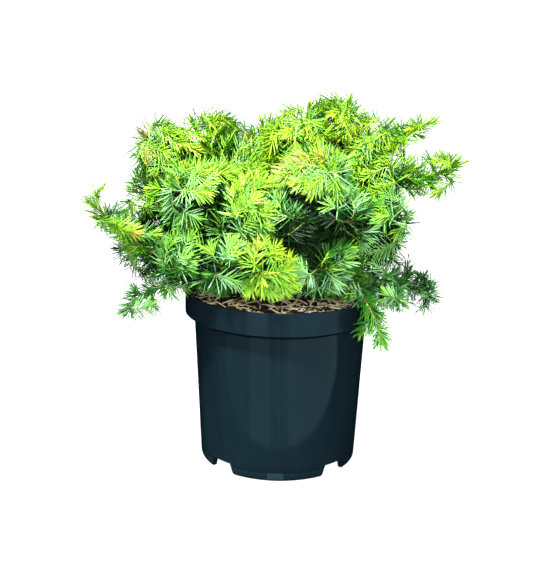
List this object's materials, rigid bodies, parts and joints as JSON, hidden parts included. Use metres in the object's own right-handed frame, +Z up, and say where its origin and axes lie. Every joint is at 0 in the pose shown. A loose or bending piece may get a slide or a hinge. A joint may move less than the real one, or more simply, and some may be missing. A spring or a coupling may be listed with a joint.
{
  "type": "potted conifer",
  "caption": "Low spreading conifer with dense prickly needles on a short forked trunk, in a round flared nursery pot with a notched foot.",
  "frame": {"origin": "on the floor at the centre of the pot's foot, on the pot's axis", "axes": "+Z up along the pot's axis, -Y the front that faces the viewer, +X to the viewer's right"},
  "size_m": [0.371, 0.2635, 0.3707],
  "materials": {
    "pot_plastic": "satin",
    "potting_mix": "matte",
    "bark": "matte",
    "needles_lime": "matte",
    "needles_green": "matte"
  },
  "bodies": {
    "root": {"back_left_low": "needles_green", "back_left_middle": "needles_green", "back_left_side": "needles_green", "back_left_upper": "needles_lime", "back_low": "needles_green", "back_middle": "needles_green", "back_right_low": "needles_green", "back_right_middle": "needles_green", "back_right_side": "needles_green", "back_right_upper": "needles_lime", "back_top": "needles_lime", "bough_back_left": "bark", "bough_back_low_left": "bark", "bough_back_low_right": "bark", "bough_back_middle": "bark", "bough_back_right": "bark", "bough_front": "bark", "bough_front_left": "bark", "bough_front_right": "bark", "bough_left_arm": "bark", "bough_left_low": "bark", "bough_left_upper": "bark", "bough_right_arm": "bark", "bough_right_inner": "bark", "bough_right_low": "bark", "bough_right_side": "bark", "bough_right_upper": "bark", "centre_top": "needles_lime", "front_bright": "needles_green", "front_low": "needles_green", "front_middle": "needles_green", "front_right": "needles_green", "front_right_upper": "needles_green", "front_upper": "needles_lime", "leader_back": "bark", "leader_left": "bark", "leader_right": "bark", "left_arm": "needles_green", "left_droop": "needles_green", "left_front": "needles_lime", "left_inner": "needles_lime", "left_low": "needles_green", "left_shoulder": "needles_lime", "left_side": "needles_green", "left_top": "needles_lime", "pot": "pot_plastic", "right_arm": "needles_lime", "right_arm_upper": "needles_lime", "right_droop_inner": "needles_green", "right_droop_outer": "needles_green", "right_front": "needles_lime", "right_inner": "needles_lime", "right_middle": "needles_green", "right_shoulder": "needles_lime", "right_side": "needles_green", "right_top": "needles_lime", "right_top_left": "needles_lime", "rim_hanger": "needles_green", "soil": "potting_mix", "trunk": "bark"}
  },
  "joints": []
}
